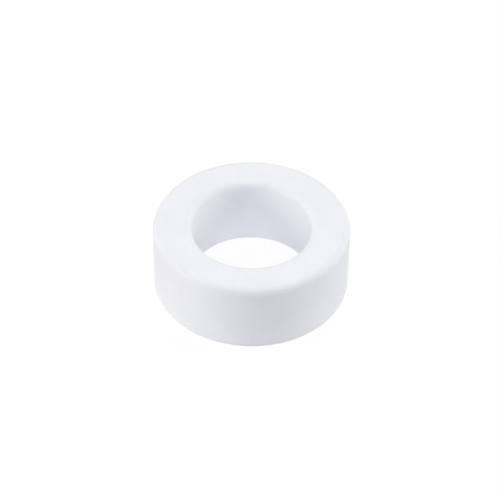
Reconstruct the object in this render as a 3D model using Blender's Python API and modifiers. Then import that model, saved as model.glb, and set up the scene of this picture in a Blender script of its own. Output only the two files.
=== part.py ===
"""Coated ferrite toroid core.

One pressed and sintered ring of rectangular section, with every edge rounded and a white coat
baked on all over. The bore is along Z, and the ring lies on its lower end face at z = 0.
"""

import math

import bmesh
import bpy

# Driving dimensions of the coated ring, in metres
OUTER_DIAMETER = 0.0250
WALL_THICKNESS = 0.0049  # across the ring, from its outer wall to the bore
HEIGHT = 0.0100
RIM_RADIUS = 0.00100  # rounding between an end face and the outer wall
MOUTH_RADIUS = 0.00110  # rounding between an end face and the bore
LEAST_FLAT = 0.0002  # flat that the roundings always leave on a face or a wall

OUTER_RADIUS = OUTER_DIAMETER / 2
BORE_RADIUS = OUTER_RADIUS - WALL_THICKNESS

# Facets
RING_STEPS = 120
ARC_STEPS = 5
MERGE_DISTANCE = 1e-6

# Finish: a satin white coat, faintly cool
COAT_COLOUR = (0.871, 0.879, 0.922, 1.0)
COAT_ROUGHNESS = 0.42


def clear_scene():
    for obj in list(bpy.data.objects):
        bpy.data.objects.remove(obj)


def edge_radii():
    """The rim and mouth roundings, held to what the wall and the height can carry."""
    wall_share = min(1.0, (WALL_THICKNESS - LEAST_FLAT) / (RIM_RADIUS + MOUTH_RADIUS))
    height_room = (HEIGHT - LEAST_FLAT) / 2
    rim = min(RIM_RADIUS * wall_share, height_room)
    mouth = min(MOUTH_RADIUS * wall_share, height_room)
    return rim, mouth


def quarter_arc(centre, radius, start_angle):
    """Points of a quarter circle in the X-Z plane, turning clockwise from start_angle."""
    points = []
    for step in range(ARC_STEPS + 1):
        angle = start_angle - math.pi / 2 * step / ARC_STEPS
        x = centre[0] + radius * math.cos(angle)
        z = centre[1] + radius * math.sin(angle)
        points.append((x, z))
    return points


def ring_section():
    """The closed outline of the ring's section, down the outer wall and up the bore."""
    rim, mouth = edge_radii()
    corners = (
        (OUTER_RADIUS - rim, HEIGHT - rim, rim, math.pi / 2),
        (OUTER_RADIUS - rim, rim, rim, 0.0),
        (BORE_RADIUS + mouth, mouth, mouth, -math.pi / 2),
        (BORE_RADIUS + mouth, HEIGHT - mouth, mouth, math.pi),
    )
    outline = []
    for x, z, radius, start_angle in corners:
        outline.extend(quarter_arc((x, z), radius, start_angle))
    return outline


def section_mesh(name, outline):
    """A mesh that holds only the outline's points and the edges between them."""
    mesh = bpy.data.meshes.new(name)
    shape = bmesh.new()
    points = [shape.verts.new((x, 0.0, z)) for x, z in outline]
    for index, point in enumerate(points):
        shape.edges.new((point, points[(index + 1) % len(points)]))
    shape.to_mesh(mesh)
    shape.free()
    return mesh


def coat_material():
    """The white coat as a plain satin surface."""
    material = bpy.data.materials.new("white_coat")
    material.use_nodes = True
    shader = material.node_tree.nodes["Principled BSDF"]
    shader.inputs["Base Color"].default_value = COAT_COLOUR
    shader.inputs["Roughness"].default_value = COAT_ROUGHNESS
    shader.inputs["Metallic"].default_value = 0.0
    material.diffuse_color = COAT_COLOUR
    return material


def turn_about_bore(obj):
    """Turns the section a full circle about the bore's axis and closes it on itself."""
    screw = obj.modifiers.new("turn_about_bore", "SCREW")
    screw.axis = "Z"
    screw.angle = 2 * math.pi
    screw.screw_offset = 0.0
    screw.steps = RING_STEPS
    screw.render_steps = RING_STEPS
    screw.use_merge_vertices = True
    screw.merge_threshold = MERGE_DISTANCE
    screw.use_smooth_shade = True


def shade_flats_flat(obj):
    """Keeps the roundings' shading off the flat end faces and the straight walls."""
    weighted = obj.modifiers.new("shade_flats_flat", "WEIGHTED_NORMAL")
    weighted.mode = "FACE_AREA"
    weighted.keep_sharp = True


def build_core(collection):
    core = bpy.data.objects.new("toroid_core", section_mesh("toroid_core", ring_section()))
    collection.objects.link(core)
    core.data.materials.append(coat_material())
    turn_about_bore(core)
    shade_flats_flat(core)


def main():
    clear_scene()
    collection = bpy.data.collections.new("ferrite_toroid_core")
    bpy.context.scene.collection.children.link(collection)
    build_core(collection)


main()
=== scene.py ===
"""Looks of the coated ferrite ring core.

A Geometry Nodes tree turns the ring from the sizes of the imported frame, a procedural satin coat
covers it, and it lies on a light table among four soft boxes, seen as the photograph sees it.
"""

import math
from collections import namedtuple

import bpy
from bpy.props import (
    FloatProperty,
    FloatVectorProperty,
    IntProperty,
    PointerProperty,
)
from mathutils import Matrix, Vector


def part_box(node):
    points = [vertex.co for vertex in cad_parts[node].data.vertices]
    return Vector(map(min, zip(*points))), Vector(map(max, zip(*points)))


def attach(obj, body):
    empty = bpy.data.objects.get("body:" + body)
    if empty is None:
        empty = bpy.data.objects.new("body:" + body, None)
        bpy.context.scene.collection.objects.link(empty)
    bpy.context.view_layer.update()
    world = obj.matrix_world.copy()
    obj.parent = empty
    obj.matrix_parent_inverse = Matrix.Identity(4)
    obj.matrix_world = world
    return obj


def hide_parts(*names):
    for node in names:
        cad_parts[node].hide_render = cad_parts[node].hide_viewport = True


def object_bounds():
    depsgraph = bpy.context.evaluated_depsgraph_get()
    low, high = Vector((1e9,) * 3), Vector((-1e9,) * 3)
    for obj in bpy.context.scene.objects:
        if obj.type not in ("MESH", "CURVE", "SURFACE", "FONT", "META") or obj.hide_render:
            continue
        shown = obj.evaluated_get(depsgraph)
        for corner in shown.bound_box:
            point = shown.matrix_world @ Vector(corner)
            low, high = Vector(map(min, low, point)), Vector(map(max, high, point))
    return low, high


bl_info = {
    "name": "Ferrite Ring Core",
    "version": (1, 0, 0),
    "blender": (4, 5, 0),
    "location": "3D View > Sidebar > Ring Core",
    "description": "A coated ferrite ring core, with its satin white coat and its studio",
    "category": "Object",
}

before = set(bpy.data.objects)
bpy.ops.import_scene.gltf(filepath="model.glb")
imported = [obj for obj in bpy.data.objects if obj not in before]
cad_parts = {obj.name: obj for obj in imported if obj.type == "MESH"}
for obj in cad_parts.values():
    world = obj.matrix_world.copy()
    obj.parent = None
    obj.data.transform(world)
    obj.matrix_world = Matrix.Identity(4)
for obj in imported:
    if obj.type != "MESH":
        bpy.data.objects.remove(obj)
CAD_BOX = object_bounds()
NODE = "toroid_core"

RingSection = namedtuple("RingSection", "outer_radius bore_radius height rim mouth")
Lamp = namedtuple("Lamp", "name azimuth elevation level colour")


def section_from_frame(node):
    """The ring's section on its CAD mesh, whose top face ends where the roundings begin."""
    low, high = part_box(node)
    same_height = 1e-6
    points = [vertex.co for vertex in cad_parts[node].data.vertices]
    reach = [math.hypot(point.x, point.y) for point in points]
    on_top = [r for r, point in zip(reach, points) if point.z > high.z - same_height]
    outer, bore = max(reach), min(reach)
    return RingSection(outer, bore, high.z - low.z, outer - max(on_top), min(on_top) - bore)


FOUND = section_from_frame(NODE)

# Soft boxes round the ring, in degrees; azimuth runs from the camera's side, positive to the right
LAMPS = (
    Lamp("left_box", azimuth=-75, elevation=16, level=0.46, colour=(1.0, 0.97, 0.93)),
    Lamp("right_box", azimuth=95, elevation=18, level=0.42, colour=(1.0, 0.98, 0.94)),
    Lamp("front_box", azimuth=0, elevation=55, level=0.31, colour=(0.92, 0.92, 1.0)),
    Lamp("back_box", azimuth=180, elevation=55, level=0.29, colour=(0.98, 1.0, 0.95)),
)


class RingSizes(bpy.types.PropertyGroup):
    """Sizes of the ring over its coat."""

    outer_diameter: FloatProperty(
        name="Outer Diameter",
        description="Across the ring, over the coat",
        default=2 * FOUND.outer_radius,
        min=0.001,
        precision=5,
        unit="LENGTH",
    )
    bore_diameter: FloatProperty(
        name="Bore Diameter",
        description="Across the hole, inside the coat",
        default=2 * FOUND.bore_radius,
        min=0.0005,
        precision=5,
        unit="LENGTH",
    )
    height: FloatProperty(
        name="Height",
        description="From one end face to the other",
        default=FOUND.height,
        min=0.0005,
        precision=5,
        unit="LENGTH",
    )
    rim_radius: FloatProperty(
        name="Rim Radius",
        description="Rounding between an end face and the outer wall",
        default=FOUND.rim,
        min=0.0,
        precision=5,
        unit="LENGTH",
    )
    mouth_radius: FloatProperty(
        name="Mouth Radius",
        description="Rounding between an end face and the bore",
        default=FOUND.mouth,
        min=0.0,
        precision=5,
        unit="LENGTH",
    )
    ring_steps: IntProperty(
        name="Ring Steps",
        description="Facets round the ring; a multiple of four keeps its full width both ways",
        default=320,
        min=12,
    )
    arc_steps: IntProperty(
        name="Arc Steps",
        description="Facets across each rounding",
        default=16,
        min=1,
    )


class CoatFinish(bpy.types.PropertyGroup):
    """Colour and surface of the baked coat."""

    colour: FloatVectorProperty(
        name="Colour",
        description="Colour of the coat",
        default=(0.871, 0.879, 0.922),
        min=0.0,
        max=1.0,
        subtype="COLOR",
    )
    tone_spread: FloatProperty(
        name="Tone Spread",
        description="How far the coat's tone drifts where it lies thinner or thicker",
        default=0.018,
        min=0.0,
        max=1.0,
        subtype="FACTOR",
    )
    tone_size: FloatProperty(
        name="Tone Size",
        description="Width of the patches of thinner and thicker coat",
        default=0.004,
        min=0.0001,
        precision=5,
        unit="LENGTH",
    )
    roughness: FloatProperty(
        name="Roughness",
        description="Satin level of the coat",
        default=0.55,
        min=0.0,
        max=1.0,
        subtype="FACTOR",
    )
    roughness_spread: FloatProperty(
        name="Roughness Spread",
        description="How far the satin level drifts over the surface",
        default=0.05,
        min=0.0,
        max=1.0,
        subtype="FACTOR",
    )
    sheen: FloatProperty(
        name="Sheen",
        description="Strength of the coat's reflections, where 0.5 is that of clear plastic",
        default=0.2,
        min=0.0,
        max=1.0,
        subtype="FACTOR",
    )
    peel_size: FloatProperty(
        name="Peel Size",
        description="Width of the orange peel's bumps",
        default=0.0009,
        min=0.00001,
        precision=5,
        unit="LENGTH",
    )
    peel_depth: FloatProperty(
        name="Peel Depth",
        description="Depth of the orange peel",
        default=0.000024,
        min=0.0,
        precision=6,
        unit="LENGTH",
    )
    grain_size: FloatProperty(
        name="Grain Size",
        description="Width of the fine grain that the coat's powder leaves",
        default=0.00015,
        min=0.00001,
        precision=5,
        unit="LENGTH",
    )
    grain_depth: FloatProperty(
        name="Grain Depth",
        description="Depth of the fine grain",
        default=0.000005,
        min=0.0,
        precision=6,
        unit="LENGTH",
    )


class StudioLook(bpy.types.PropertyGroup):
    """Soft boxes, surrounding light, light table and camera."""

    lamp_distance: FloatProperty(
        name="Lamp Distance",
        description="From each soft box to the ring's centre",
        default=0.40,
        min=0.05,
        unit="LENGTH",
    )
    lamp_width: FloatProperty(
        name="Lamp Width",
        description="Across each square soft box",
        default=0.20,
        min=0.01,
        unit="LENGTH",
    )
    room_colour: FloatVectorProperty(
        name="Room Colour",
        description="Colour of the light from above",
        default=(1.0, 1.0, 1.0),
        min=0.0,
        max=1.0,
        subtype="COLOR",
    )
    room_level: FloatProperty(
        name="Room Level",
        description="Level of the light right overhead; it fades out towards the horizon",
        default=0.40,
        min=0.0,
    )
    table_colour: FloatVectorProperty(
        name="Table Colour",
        description="Colour of the light from the light table",
        default=(0.96, 0.98, 1.0),
        min=0.0,
        max=1.0,
        subtype="COLOR",
    )
    table_level: FloatProperty(
        name="Table Level",
        description="Level of the light table that the ring lies on",
        default=0.80,
        min=0.0,
    )
    table_width: FloatProperty(
        name="Table Width",
        description="Across the round light table",
        default=0.20,
        min=0.01,
        unit="LENGTH",
    )
    table_white: FloatProperty(
        name="Table White",
        description="Brightness of the table as the camera sees it, where 1 is plain white",
        default=1.03,
        min=0.0,
    )
    shadow_share: FloatProperty(
        name="Shadow Share",
        description="How much of the ring's shadow the camera sees on the table",
        default=0.2,
        min=0.0,
        max=1.0,
        subtype="FACTOR",
    )
    elevation: FloatProperty(
        name="Camera Elevation",
        description="Angle of the camera above the light table",
        default=math.radians(42.95),
        subtype="ANGLE",
    )
    roll: FloatProperty(
        name="Camera Roll",
        description="Turn of the camera about its line of sight",
        default=math.radians(0.65),
        subtype="ANGLE",
    )
    distance: FloatProperty(
        name="Camera Distance",
        description="From the camera to the ring's centre",
        default=0.26,
        min=0.01,
        unit="LENGTH",
    )
    lens: FloatProperty(
        name="Lens",
        description="Focal length, in millimetres",
        default=146.2,
        min=1.0,
        unit="CAMERA",
    )
    sensor_width: FloatProperty(
        name="Sensor Width",
        description="Width of the camera's sensor, in millimetres",
        default=36.0,
        min=1.0,
        unit="CAMERA",
    )


def add_node(tree, kind, **settings):
    """A new node with the given settings."""
    node = tree.nodes.new(kind)
    for name, value in settings.items():
        setattr(node, name, value)
    return node


def feed(tree, node, **sources):
    """Fills a node's inputs, named in lower case with underscores, from sockets or values."""
    for name, source in sources.items():
        wanted = name.replace("_", " ")
        socket = next(s for s in node.inputs if s.name.lower() == wanted and s.enabled)
        if isinstance(source, bpy.types.NodeSocket):
            tree.links.new(source, socket)
        else:
            socket.default_value = source


def calculate(tree, operation, *sources):
    """The result of a sum on sockets or values."""
    node = add_node(tree, "ShaderNodeMath", operation=operation)
    for socket, source in zip(node.inputs, sources):
        if isinstance(source, bpy.types.NodeSocket):
            tree.links.new(source, socket)
        else:
            socket.default_value = source
    return node.outputs["Value"]


def lay_out(tree):
    """Sets the nodes out in columns, each to the left of all that it feeds."""
    column_width, row_height = 220, 260
    column = {node.name: 0 for node in tree.nodes}
    for _ in tree.nodes:
        for link in tree.links:
            source, target = link.from_node.name, link.to_node.name
            column[source] = max(column[source], column[target] + 1)
    filled = {}
    for node in tree.nodes:
        place = column[node.name]
        row = filled.get(place, 0)
        node.location = (-column_width * place, -row_height * row)
        filled[place] = row + 1


def ring_tree():
    """Geometry Nodes that sweep the rounded section round the ring's middle circle."""
    tree = bpy.data.node_groups.new("turned_ring", "GeometryNodeTree")
    lengths = ("Outer Diameter", "Bore Diameter", "Height", "Rim Radius", "Mouth Radius")
    for name in lengths:
        socket = tree.interface.new_socket(name, in_out="INPUT", socket_type="NodeSocketFloat")
        socket.subtype = "DISTANCE"
    for name in ("Ring Steps", "Arc Steps"):
        tree.interface.new_socket(name, in_out="INPUT", socket_type="NodeSocketInt")
    tree.interface.new_socket("Coat", in_out="INPUT", socket_type="NodeSocketMaterial")
    tree.interface.new_socket("Ring", in_out="OUTPUT", socket_type="NodeSocketGeometry")
    given = add_node(tree, "NodeGroupInput").outputs

    diameters = calculate(tree, "ADD", given["Outer Diameter"], given["Bore Diameter"])
    wall_twice = calculate(tree, "SUBTRACT", given["Outer Diameter"], given["Bore Diameter"])
    middle = add_node(tree, "GeometryNodeCurvePrimitiveCircle", mode="RADIUS")
    feed(
        tree,
        middle,
        resolution=given["Ring Steps"],
        radius=calculate(tree, "DIVIDE", diameters, 4.0),
    )
    block = add_node(tree, "GeometryNodeCurvePrimitiveQuadrilateral", mode="RECTANGLE")
    feed(
        tree,
        block,
        width=calculate(tree, "DIVIDE", wall_twice, 2.0),
        height=given["Height"],
    )

    place = add_node(tree, "GeometryNodeInputPosition")
    along = add_node(tree, "ShaderNodeSeparateXYZ")
    feed(tree, along, vector=place.outputs["Position"])
    outer_side = add_node(tree, "FunctionNodeCompare", data_type="FLOAT", operation="GREATER_THAN")
    feed(tree, outer_side, a=along.outputs["X"], b=0.0)
    rounding = add_node(tree, "GeometryNodeSwitch", input_type="FLOAT")
    feed(
        tree,
        rounding,
        switch=outer_side.outputs["Result"],
        false=given["Mouth Radius"],
        true=given["Rim Radius"],
    )
    rounded = add_node(tree, "GeometryNodeFilletCurve", mode="POLY")
    feed(
        tree,
        rounded,
        curve=block.outputs["Curve"],
        count=given["Arc Steps"],
        radius=rounding.outputs["Output"],
        limit_radius=True,
    )

    swept = add_node(tree, "GeometryNodeCurveToMesh")
    feed(tree, swept, curve=middle.outputs["Curve"], profile_curve=rounded.outputs["Curve"])
    half_height = calculate(tree, "DIVIDE", given["Height"], 2.0)
    lift = add_node(tree, "ShaderNodeCombineXYZ")
    feed(tree, lift, z=half_height)
    raised = add_node(tree, "GeometryNodeTransform")
    feed(tree, raised, geometry=swept.outputs["Mesh"], translation=lift.outputs["Vector"])
    smooth = add_node(tree, "GeometryNodeSetShadeSmooth")
    feed(tree, smooth, geometry=raised.outputs["Geometry"])
    whole = add_node(tree, "GeometryNodeRealizeInstances")
    feed(tree, whole, geometry=smooth.outputs["Geometry"])
    coated = add_node(tree, "GeometryNodeSetMaterial")
    feed(tree, coated, geometry=whole.outputs["Geometry"], material=given["Coat"])
    result = add_node(tree, "NodeGroupOutput")
    feed(tree, result, ring=coated.outputs["Geometry"])
    lay_out(tree)
    return tree


def set_tree_inputs(modifier, values):
    """Sets a Geometry Nodes modifier's inputs, found by the names that its tree gives them."""
    for item in modifier.node_group.interface.items_tree:
        if item.in_out == "INPUT":
            modifier[item.identifier] = values[item.name]


def made_mesh(obj):
    """Turns an object's evaluated shape into its own plain mesh, with no modifier left on it."""
    graph = bpy.context.evaluated_depsgraph_get()
    mesh = bpy.data.meshes.new_from_object(
        obj.evaluated_get(graph), preserve_all_data_layers=True, depsgraph=graph
    )
    obj.modifiers.clear()
    obj.data = mesh
    mesh.name = obj.name


def grain(tree, where, size, detail, seed):
    """A noise over the piece in metres, its features about as wide as size."""
    noise = add_node(tree, "ShaderNodeTexNoise", noise_dimensions="4D")
    feed(tree, noise, vector=where, w=seed, scale=1 / size, detail=detail, roughness=0.5)
    return noise.outputs["Fac"]


def spread(tree, source, low, high):
    """A noise's usual range stretched between two values."""
    usual_low, usual_high = 0.3, 0.7
    node = add_node(tree, "ShaderNodeMapRange")
    feed(tree, node, value=source, from_min=usual_low, from_max=usual_high)
    feed(tree, node, to_min=low, to_max=high)
    return node.outputs["Result"]


def coat_material(coat):
    """Satin white coat: a faint drift of tone and gloss, and the fine peel of a baked film."""
    material = bpy.data.materials.new("satin_white_coat")
    material.use_nodes = True
    tree = material.node_tree
    shader = tree.nodes["Principled BSDF"]
    where = add_node(tree, "ShaderNodeTexCoord").outputs["Object"]

    thickness = grain(tree, where, coat.tone_size, detail=3.0, seed=1.0)
    thin = [channel * (1 - coat.tone_spread) for channel in coat.colour]
    thick = [min(1.0, channel * (1 + coat.tone_spread)) for channel in coat.colour]
    tone = add_node(tree, "ShaderNodeMix", data_type="RGBA")
    feed(
        tree,
        tone,
        factor=spread(tree, thickness, 0.0, 1.0),
        a=(*thin, 1.0),
        b=(*thick, 1.0),
    )
    patches = grain(tree, where, coat.tone_size / 2, detail=2.0, seed=2.0)
    dullest = coat.roughness + coat.roughness_spread
    gloss = spread(tree, patches, coat.roughness - coat.roughness_spread, dullest)
    bumps = grain(tree, where, coat.peel_size, detail=2.0, seed=3.0)
    peel = spread(tree, bumps, 0.0, coat.peel_depth)
    specks = grain(tree, where, coat.grain_size, detail=1.0, seed=4.0)
    powder = spread(tree, specks, 0.0, coat.grain_depth)
    relief = add_node(tree, "ShaderNodeBump")
    feed(tree, relief, strength=1.0, distance=1.0, height=calculate(tree, "ADD", peel, powder))
    colour_out = next(s for s in tone.outputs if s.type == "RGBA")
    feed(
        tree,
        shader,
        base_color=colour_out,
        roughness=gloss,
        specular_ior_level=coat.sheen,
        normal=relief.outputs["Normal"],
    )
    lay_out(tree)
    return material


def flatten_flats(obj):
    """Weights the shading by face area, which keeps the roundings' bend off the flat faces."""
    weighted = obj.modifiers.new("flatten_flats", "WEIGHTED_NORMAL")
    weighted.mode = "FACE_AREA"
    weighted.keep_sharp = True


class RINGCORE_OT_build_ring(bpy.types.Operator):
    """Build the coated ring over its place in the frame"""

    bl_idname = "ringcore.build_ring"
    bl_label = "Build Ring"

    def execute(self, context):
        sizes, coat = context.scene.ring_sizes, context.scene.coat_finish
        ring = bpy.data.objects.new("coated_ring", bpy.data.meshes.new("coated_ring"))
        context.scene.collection.objects.link(ring)
        turned = ring.modifiers.new("turned_ring", "NODES")
        turned.node_group = ring_tree()
        set_tree_inputs(
            turned,
            {
                "Outer Diameter": sizes.outer_diameter,
                "Bore Diameter": sizes.bore_diameter,
                "Height": sizes.height,
                "Rim Radius": sizes.rim_radius,
                "Mouth Radius": sizes.mouth_radius,
                "Ring Steps": sizes.ring_steps,
                "Arc Steps": sizes.arc_steps,
                "Coat": coat_material(coat),
            },
        )
        flatten_flats(ring)
        made_mesh(ring)
        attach(ring, "root")
        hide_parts(NODE)
        return {"FINISHED"}


def seen_as_white(tree, plain, seen):
    """Shows one shader to the camera, to gloss and to glass, and the other to all other light."""
    path = add_node(tree, "ShaderNodeLightPath").outputs
    rays = calculate(tree, "MAXIMUM", path["Is Camera Ray"], path["Is Glossy Ray"])
    rays = calculate(tree, "MAXIMUM", rays, path["Is Transmission Ray"])
    choice = add_node(tree, "ShaderNodeMixShader")
    tree.links.new(rays, choice.inputs["Fac"])
    tree.links.new(plain, choice.inputs[1])
    tree.links.new(seen, choice.inputs[2])
    return choice.outputs["Shader"]


def table_material(look):
    """An even glow to the ring; to the camera, white with a faint shadow."""
    material = bpy.data.materials.new("light_table")
    material.use_nodes = True
    tree = material.node_tree
    tree.nodes.remove(tree.nodes["Principled BSDF"])
    glow = add_node(tree, "ShaderNodeEmission")
    feed(tree, glow, color=(*look.table_colour, 1.0), strength=look.table_level)
    white = add_node(tree, "ShaderNodeEmission")
    feed(tree, white, color=(1.0, 1.0, 1.0, 1.0), strength=look.table_white)
    shadowed = add_node(tree, "ShaderNodeBsdfDiffuse")
    feed(tree, shadowed, color=(1.0, 1.0, 1.0, 1.0))
    shown = add_node(tree, "ShaderNodeMixShader")
    feed(tree, shown, fac=look.shadow_share)
    tree.links.new(white.outputs["Emission"], shown.inputs[1])
    tree.links.new(shadowed.outputs["BSDF"], shown.inputs[2])
    surface = seen_as_white(tree, glow.outputs["Emission"], shown.outputs["Shader"])
    tree.links.new(surface, tree.nodes["Material Output"].inputs["Surface"])
    lay_out(tree)
    return material


def lay_table(look):
    """The light table, a round plate just under the ring."""
    sides, drop = 96, 0.00001
    bpy.ops.mesh.primitive_circle_add(
        vertices=sides,
        radius=look.table_width / 2,
        fill_type="NGON",
        location=(0.0, 0.0, CAD_BOX[0].z - drop),
    )
    table = bpy.context.active_object
    table.name = "light_table"
    table.data.materials.append(table_material(look))


def light_room(look):
    """Soft light from above that fades out at the horizon, shown to the camera as plain white."""
    world = bpy.data.worlds.new("studio_room")
    bpy.context.scene.world = world
    world.use_nodes = True
    tree = world.node_tree
    towards = add_node(tree, "ShaderNodeSeparateXYZ")
    feed(tree, towards, vector=add_node(tree, "ShaderNodeTexCoord").outputs["Generated"])
    fade = calculate(tree, "SQRT", towards.outputs["Z"])
    room = tree.nodes["Background"]
    feed(
        tree,
        room,
        color=(*look.room_colour, 1.0),
        strength=calculate(tree, "MULTIPLY", fade, look.room_level),
    )
    white = add_node(tree, "ShaderNodeBackground")
    feed(tree, white, color=(1.0, 1.0, 1.0, 1.0), strength=1.0)
    surface = seen_as_white(tree, room.outputs["Background"], white.outputs["Background"])
    tree.links.new(surface, tree.nodes["World Output"].inputs["Surface"])
    lay_out(tree)


def hang_lamp(lamp, look, target):
    """A square soft box that faces the ring; level 1 lights a facing card to its own colour."""
    light = bpy.data.lights.new(lamp.name, "AREA")
    light.shape = "SQUARE"
    light.size = look.lamp_width
    light.color = lamp.colour
    light.energy = lamp.level * (math.pi * look.lamp_distance) ** 2
    azimuth, elevation = math.radians(lamp.azimuth), math.radians(lamp.elevation)
    towards = Vector(
        (
            math.sin(azimuth) * math.cos(elevation),
            -math.cos(azimuth) * math.cos(elevation),
            math.sin(elevation),
        )
    )
    body = bpy.data.objects.new(lamp.name, light)
    bpy.context.scene.collection.objects.link(body)
    body.rotation_euler = towards.to_track_quat("Z", "Y").to_euler()
    body.location = target + towards * look.lamp_distance


def place_camera(look, target):
    """The photograph's view down on the ring, through a long lens aimed a touch left and high."""
    frame_width = 500
    ring_right, ring_down = 1.35, 2.24  # pixels from the picture's middle
    lens = bpy.data.cameras.new("photo_camera")
    lens.sensor_width = look.sensor_width
    lens.lens = look.lens
    lens.shift_x = -ring_right / frame_width
    lens.shift_y = ring_down / frame_width
    tilt = Matrix.Rotation(math.pi / 2 - look.elevation, 4, "X")
    back = tilt @ Vector((0.0, 0.0, 1.0))
    camera = bpy.data.objects.new("photo_camera", lens)
    bpy.context.scene.collection.objects.link(camera)
    camera.matrix_world = (
        Matrix.Translation(target + back * look.distance)
        @ tilt
        @ Matrix.Rotation(look.roll, 4, "Z")
    )
    bpy.context.scene.camera = camera


class RINGCORE_OT_build_stage(bpy.types.Operator):
    """Build the light table, the lamps and the camera"""

    bl_idname = "ringcore.build_stage"
    bl_label = "Build Stage"

    def execute(self, context):
        look = context.scene.studio_look
        target = (CAD_BOX[0] + CAD_BOX[1]) / 2
        lay_table(look)
        light_room(look)
        for lamp in LAMPS:
            hang_lamp(lamp, look, target)
        place_camera(look, target)
        context.scene.view_settings.view_transform = "Standard"
        return {"FINISHED"}


class RINGCORE_PT_panel(bpy.types.Panel):
    """Sizes and finish of the ring, and its studio"""

    bl_label = "Ring Core"
    bl_idname = "RINGCORE_PT_panel"
    bl_space_type = "VIEW_3D"
    bl_region_type = "UI"
    bl_category = "Ring Core"

    def draw(self, context):
        scene = context.scene
        groups = (
            ("Ring", scene.ring_sizes, RINGCORE_OT_build_ring.bl_idname),
            ("Coat", scene.coat_finish, None),
            ("Studio", scene.studio_look, RINGCORE_OT_build_stage.bl_idname),
        )
        for label, group, operator in groups:
            box = self.layout.box()
            box.label(text=label)
            for name in group.__annotations__:
                box.prop(group, name)
            if operator:
                box.operator(operator)


CLASSES = (
    RingSizes,
    CoatFinish,
    StudioLook,
    RINGCORE_OT_build_ring,
    RINGCORE_OT_build_stage,
    RINGCORE_PT_panel,
)


def register():
    for cls in CLASSES:
        bpy.utils.register_class(cls)
    bpy.types.Scene.ring_sizes = PointerProperty(type=RingSizes)
    bpy.types.Scene.coat_finish = PointerProperty(type=CoatFinish)
    bpy.types.Scene.studio_look = PointerProperty(type=StudioLook)


def unregister():
    del bpy.types.Scene.studio_look
    del bpy.types.Scene.coat_finish
    del bpy.types.Scene.ring_sizes
    for cls in reversed(CLASSES):
        bpy.utils.unregister_class(cls)


def main():
    register()
    bpy.ops.ringcore.build_ring()
    bpy.ops.ringcore.build_stage()


if __name__ == "__main__":
    main()
